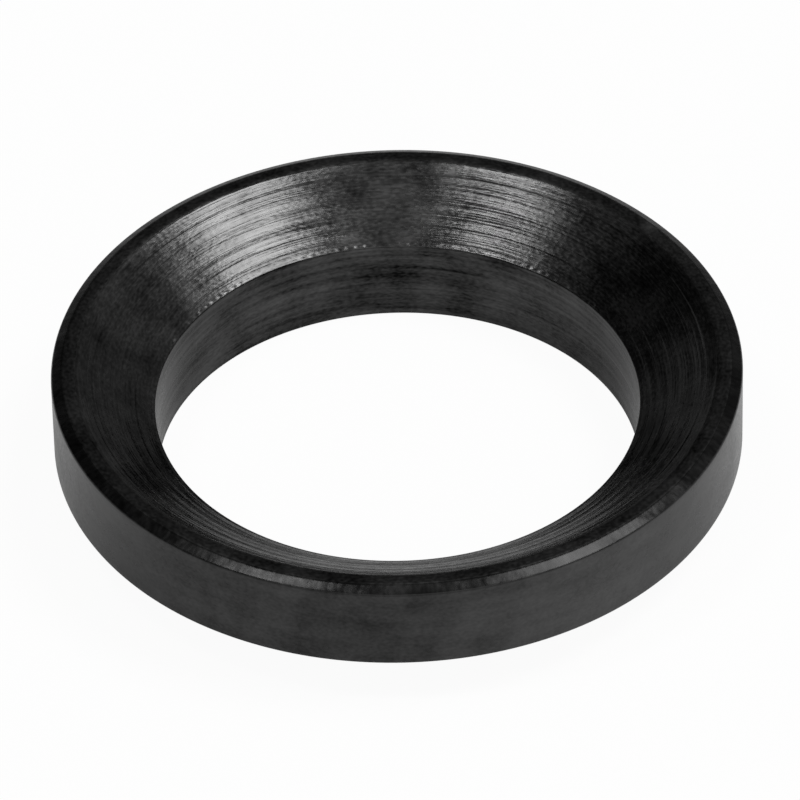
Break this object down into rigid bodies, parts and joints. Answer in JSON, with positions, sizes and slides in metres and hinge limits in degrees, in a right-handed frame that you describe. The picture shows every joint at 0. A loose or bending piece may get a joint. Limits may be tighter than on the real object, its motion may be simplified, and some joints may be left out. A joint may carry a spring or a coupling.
{
  "type": "crush washer",
  "caption": "Turned steel ring with a funnel-shaped upper face, a matching cone below and a plain bore. It folds flat between a shoulder and a threaded fitting, and locks the fitting.",
  "frame": {"origin": "centre of the bore, in the plane of the seat that the ring stands on", "axes": "+Z along the bore, from the seat up to the rim; X and Y are any two directions across the ring"},
  "size_m": [0.0188, 0.0188, 0.0038],
  "materials": {
    "blackened_steel": "black oxide over turned steel, satin, with fine turning lines in the funnel"
  },
  "bodies": {
    "root": {"washer": "blackened_steel"}
  },
  "joints": []
}
